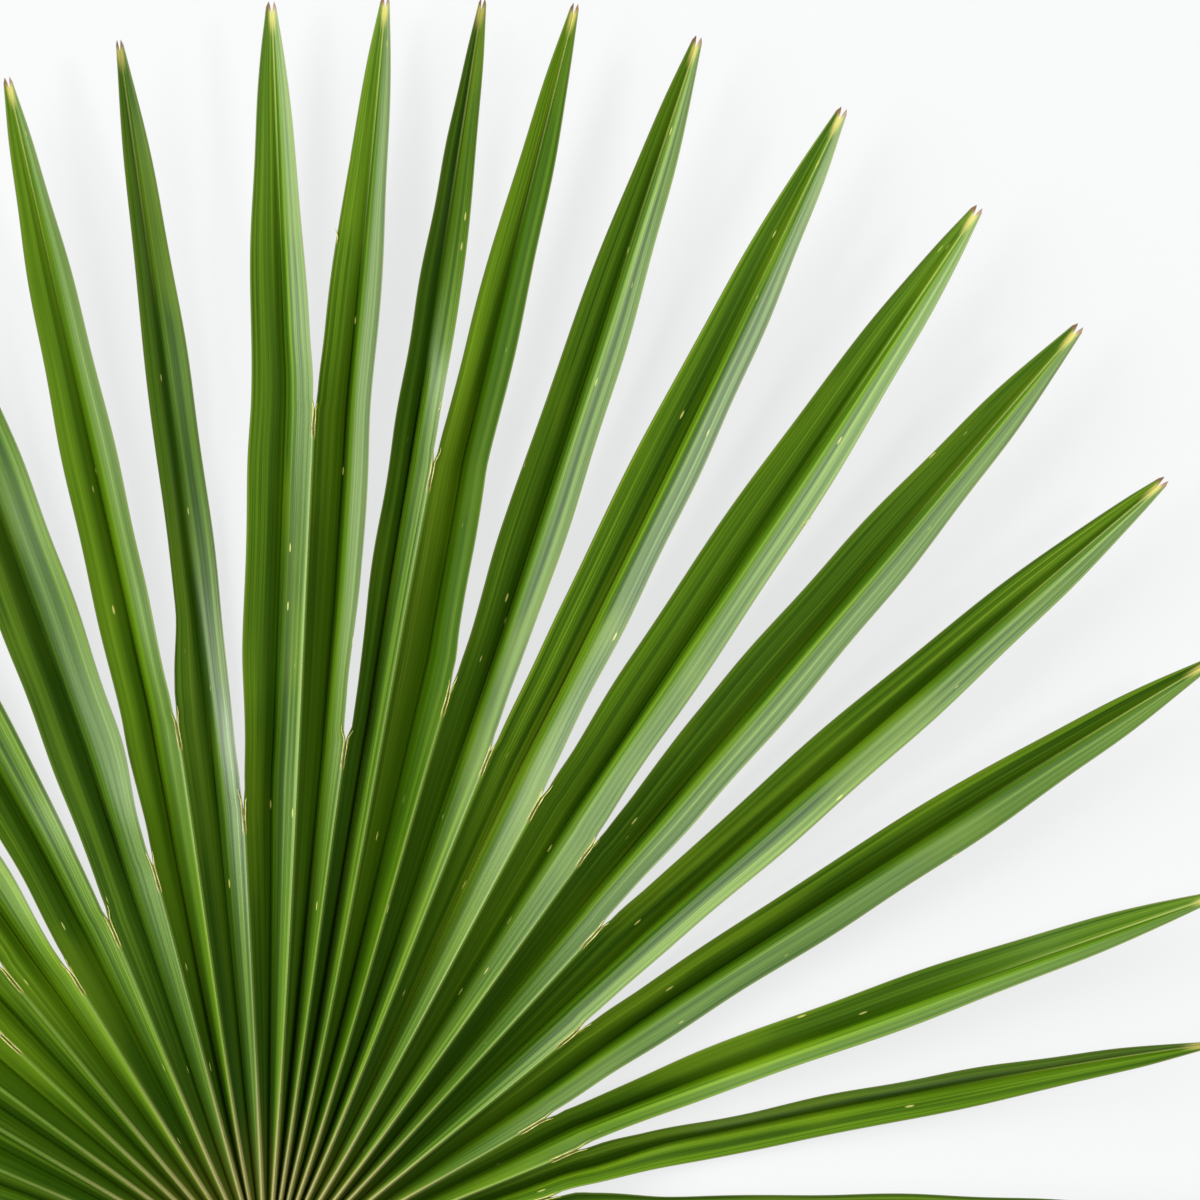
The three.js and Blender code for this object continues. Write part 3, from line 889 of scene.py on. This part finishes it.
forward = np.gradient(paths, axis=1)
forward /= np.linalg.norm(forward, axis=2, keepdims=True)
aside = np.cross(forward, [0, 0, 1.0])
aside /= np.linalg.norm(aside, axis=2, keepdims=True)
raised = np.cross(aside, forward)
corner = 2 * np.pi * np.arange(THREAD_SIDES) / THREAD_SIDES
thick = THREAD_RADIUS * MM * (0.25 + 0.75 * np.sin(np.pi * s) ** 0.6)[None, :, None, None]
ring = np.cos(corner)[:, None] * aside[:, :, None] + np.sin(corner)[:, None] * raised[:, :, None]
loose = paths[:, :, None] + thick * ring
own = np.broadcast_to(np.arange(len(paths))[:, None, None], loose.shape[:3]).astype(float)
numbers = {"thread": own, "along": np.broadcast_to(s[None, :, None], loose.shape[:3])}
threads = closed_tubes("torn_threads", loose, numbers)
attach(threads, "root")
print(len(paths), "threads")

# %% [markdown]
# ## Skins of the stalk, the flap and the threads
#
# The stalk's rind is the leaf's green over pale tissue: yellower, with long fine streaks, a rusty
# line on each margin and darker green underneath. The cut is pith. The flap and the threads are
# dead fibre, straw with brown.


# %% Stalk skin
rind, tree, shader = new_material("green_stalk_rind_and_cut_pith")
along_mm, round_mm = attribute(tree, "along_mm"), attribute(tree, "round_mm")
place = [round_mm, along_mm, 0.0]
grain = streaks(tree, place, (2.4, 0.03, 1.0), 3.0)
stops = [(0.32, "#5f7f22"), (0.5, "#86a23e"), (0.68, "#a9bd62")]
colour = node(tree, "ShaderNodeValToRGB", {0: grain}, ramp=stops).outputs[0]
mottle = streaks(tree, place, (0.25, 0.05, 1.0), 3.0)
colour = paint(tree, times(tree, fade(tree, mottle, 0.5, 0.75), 0.5), colour, linear("#b59f58"))
margin_line = times(tree, fade(tree, attribute(tree, "side"), 0.93, 0.99), 0.6)
colour = paint(tree, margin_line, colour, linear("#8a6a3c"))
# darker green towards the bottom of the rod
below = times(tree, fade(tree, attribute(tree, "up"), -0.1, -0.8), 0.45)
colour = paint(tree, below, colour, linear("#55701f"))
head = times(tree, fade(tree, along_mm, 205, 240), 0.55)
colour = paint(tree, head, colour, linear("#b7a862"))
object_place = node(tree, "ShaderNodeTexCoord").outputs["Object"]
bundles = node(tree, "ShaderNodeTexVoronoi", {"Vector": object_place, "Scale": 1400.0})
pith_stops = [(0.25, "#8d7246"), (0.45, "#ddd2a2")]
pith = node(tree, "ShaderNodeValToRGB", {0: bundles.outputs["Distance"]}, ramp=pith_stops)
colour = paint(tree, attribute(tree, "cut"), colour, pith.outputs[0])
tree.links.new(colour, shader.inputs["Base Color"])
shader.inputs["Roughness"].default_value = 0.45
relief = node(tree, "ShaderNodeBump", {"Strength": 0.5, "Distance": 0.15 * MM, "Height": grain})
tree.links.new(relief.outputs["Normal"], shader.inputs["Normal"])
stalk.data.materials.append(rind)

# %% Flap and thread skins
papery, tree, shader = new_material("dry_papery_flap")
place = [attribute(tree, "across_mm"), attribute(tree, "rim"), 0.0]
grain = streaks(tree, place, (1.8, 0.6, 1.0), 3.0)
stops = [(0.35, "#8e8a48"), (0.5, "#b3a866"), (0.7, "#d2c58c")]
colour = node(tree, "ShaderNodeValToRGB", {0: grain}, ramp=stops).outputs[0]
dried = fade(tree, attribute(tree, "rim"), 0.72, 0.97)
colour = paint(tree, dried, colour, linear("#6d4f33"))
tree.links.new(colour, shader.inputs["Base Color"])
shader.inputs["Roughness"].default_value = 0.7
relief = node(tree, "ShaderNodeBump", {"Strength": 0.5, "Distance": 0.2 * MM, "Height": grain})
tree.links.new(relief.outputs["Normal"], shader.inputs["Normal"])
flap.data.materials.append(papery)

dry, tree, shader = new_material("dry_palm_fibre")
place = [attribute(tree, "thread"), attribute(tree, "along"), 0.0]
grain = streaks(tree, place, (7.3, 4.0, 1.0), 2.0)
stops = [(0.35, "#a3a150"), (0.5, "#c5c36e"), (0.65, "#dcda96")]
colour = node(tree, "ShaderNodeValToRGB", {0: grain}, ramp=stops).outputs[0]
tree.links.new(colour, shader.inputs["Base Color"])
shader.inputs["Roughness"].default_value = 0.6
threads.data.materials.append(dry)
print("skins laid on stalk, flap and threads")
